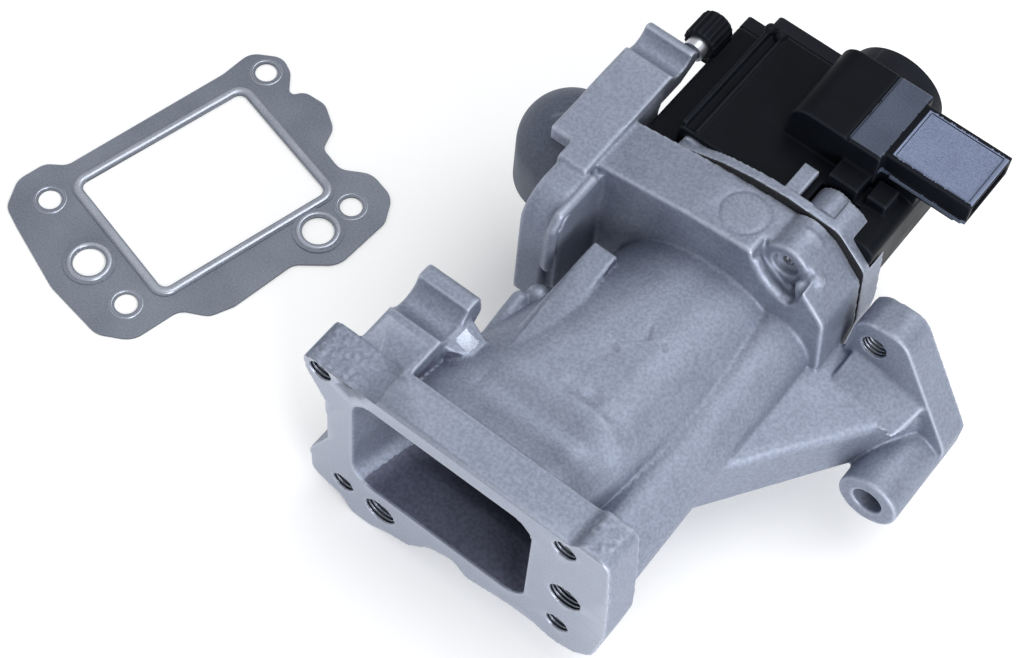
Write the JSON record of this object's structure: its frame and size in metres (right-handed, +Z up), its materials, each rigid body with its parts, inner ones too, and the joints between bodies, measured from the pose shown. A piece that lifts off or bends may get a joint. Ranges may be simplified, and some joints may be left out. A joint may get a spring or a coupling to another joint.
{
  "type": "egr valve",
  "caption": "Exhaust gas recirculation valve: cast body with a rectangular manifold flange, side branch, electric poppet actuator with connector, and a loose sheet gasket.",
  "frame": {"origin": "centre of the rectangular port, on the mating face of the manifold flange", "axes": "+X along the flange, +Y from the flange face into the body, +Z up"},
  "size_m": [0.313, 0.2016, 0.1126],
  "materials": {
    "cast_body": "sand-cast, matt",
    "elbow_steel": "dark oxidised",
    "seat_steel": "ground",
    "bush_bronze": "turned",
    "seal_rubber": "matt",
    "stem_steel": "ground",
    "disc_steel": "turned",
    "pin_steel": "ground",
    "cam_steel": "machined",
    "gear_plastic": "moulded",
    "wheel_plastic": "moulded",
    "pinion_brass": "machined",
    "axle_steel": "ground",
    "bearing_steel": "ground",
    "sensor_ferrite": "sintered",
    "cage_plastic": "moulded",
    "spring_steel": "drawn",
    "retainer_steel": "pressed",
    "clip_steel": "pressed",
    "base_cast": "die-cast, machined",
    "paper_gasket": "matt",
    "long_screw_steel": "zinc plated",
    "short_screw_steel": "zinc plated",
    "dowel_steel": "ground",
    "black_plastic": "moulded, satin",
    "terminal_metal": "plated",
    "sleeve_steel": "zinc plated",
    "cover_rubber": "matt",
    "cover_plastic": "moulded",
    "cover_screw_steel": "zinc plated",
    "plate_steel": "pressed",
    "can_steel": "drawn",
    "case_screw_steel": "zinc plated",
    "motor_bronze": "sintered",
    "shaft_steel": "ground",
    "field_ferrite": "sintered",
    "core_steel": "stacked sheet",
    "coil_copper": "enamelled wire",
    "commutator_copper": "turned",
    "card_plastic": "moulded",
    "brush_carbon": "sintered",
    "cap_plastic": "moulded",
    "board_laminate": "laminate",
    "chip_plastic": "moulded",
    "gasket_steel": "embossed sheet"
  },
  "bodies": {
    "body": {"valve_housing": "cast_body", "inlet_elbow": "elbow_steel", "valve_seat": "seat_steel", "stem_bush": "bush_bronze", "stem_seal": "seal_rubber", "gear_pin": "axle_steel", "output_bearing": "bearing_steel", "guide_cage": "cage_plastic", "return_spring": "spring_steel", "actuator_base": "base_cast", "base_gasket": "paper_gasket", "housing_screws": "long_screw_steel", "base_screws": "short_screw_steel", "dowel_pins": "dowel_steel", "gear_housing": "black_plastic", "terminal_pins": "terminal_metal", "fixing_sleeve": "sleeve_steel", "cover_seal": "cover_rubber", "rear_cover": "cover_plastic", "cover_screws": "cover_screw_steel", "motor_plate": "plate_steel", "motor_can": "can_steel", "motor_screws": "case_screw_steel", "motor_bushes": "motor_bronze", "motor_magnets": "field_ferrite", "brush_card": "card_plastic", "motor_brushes": "brush_carbon", "motor_cap": "cap_plastic", "position_board": "board_laminate", "board_chips": "chip_plastic", "flange_gasket": "gasket_steel"},
    "gear_shaft": {"output_gear": "wheel_plastic", "cam_sleeve": "cam_steel", "sensor_magnet": "sensor_ferrite"},
    "idler": {"intermediate_gear": "gear_plastic"},
    "rotor": {"motor_shaft": "shaft_steel", "motor_pinion": "pinion_brass", "rotor_core": "core_steel", "rotor_windings": "coil_copper", "commutator": "commutator_copper"},
    "stem": {"valve_stem": "stem_steel", "valve_disc": "disc_steel", "cross_pin": "pin_steel", "spring_retainer": "retainer_steel", "retainer_clip": "clip_steel"}
  },
  "joints": [
    {"name": "output_turn", "type": "hinge", "parent": "body", "child": "gear_shaft", "pos_m": [0.0245, 0.14, -0.0055], "axis": [0, 1, 0], "range_deg": [-1, 91]},
    {"name": "intermediate_spin", "type": "hinge", "parent": "body", "child": "idler", "pos_m": [0.00801, 0.146, 0.02075], "axis": [0, 1, 0], "range_deg": [-376, 1]},
    {"name": "motor_spin", "type": "hinge", "parent": "body", "child": "rotor", "pos_m": [0.03, 0.165, 0.0275], "axis": [0, 1, 0], "range_deg": [-1, 1351]},
    {"name": "stem_lift", "type": "slide", "parent": "body", "child": "stem", "axis": [0, -1, 0], "range_m": [0, 0.009], "deforming": ["return_spring"]}
  ],
  "couplings": [
    {"joint": "output_turn", "follows": "stem_lift", "rad_per_m": 174.53},
    {"joint": "intermediate_spin", "follows": "stem_lift", "rad_per_m": -727.22},
    {"joint": "motor_spin", "follows": "stem_lift", "rad_per_m": 2618}
  ]
}
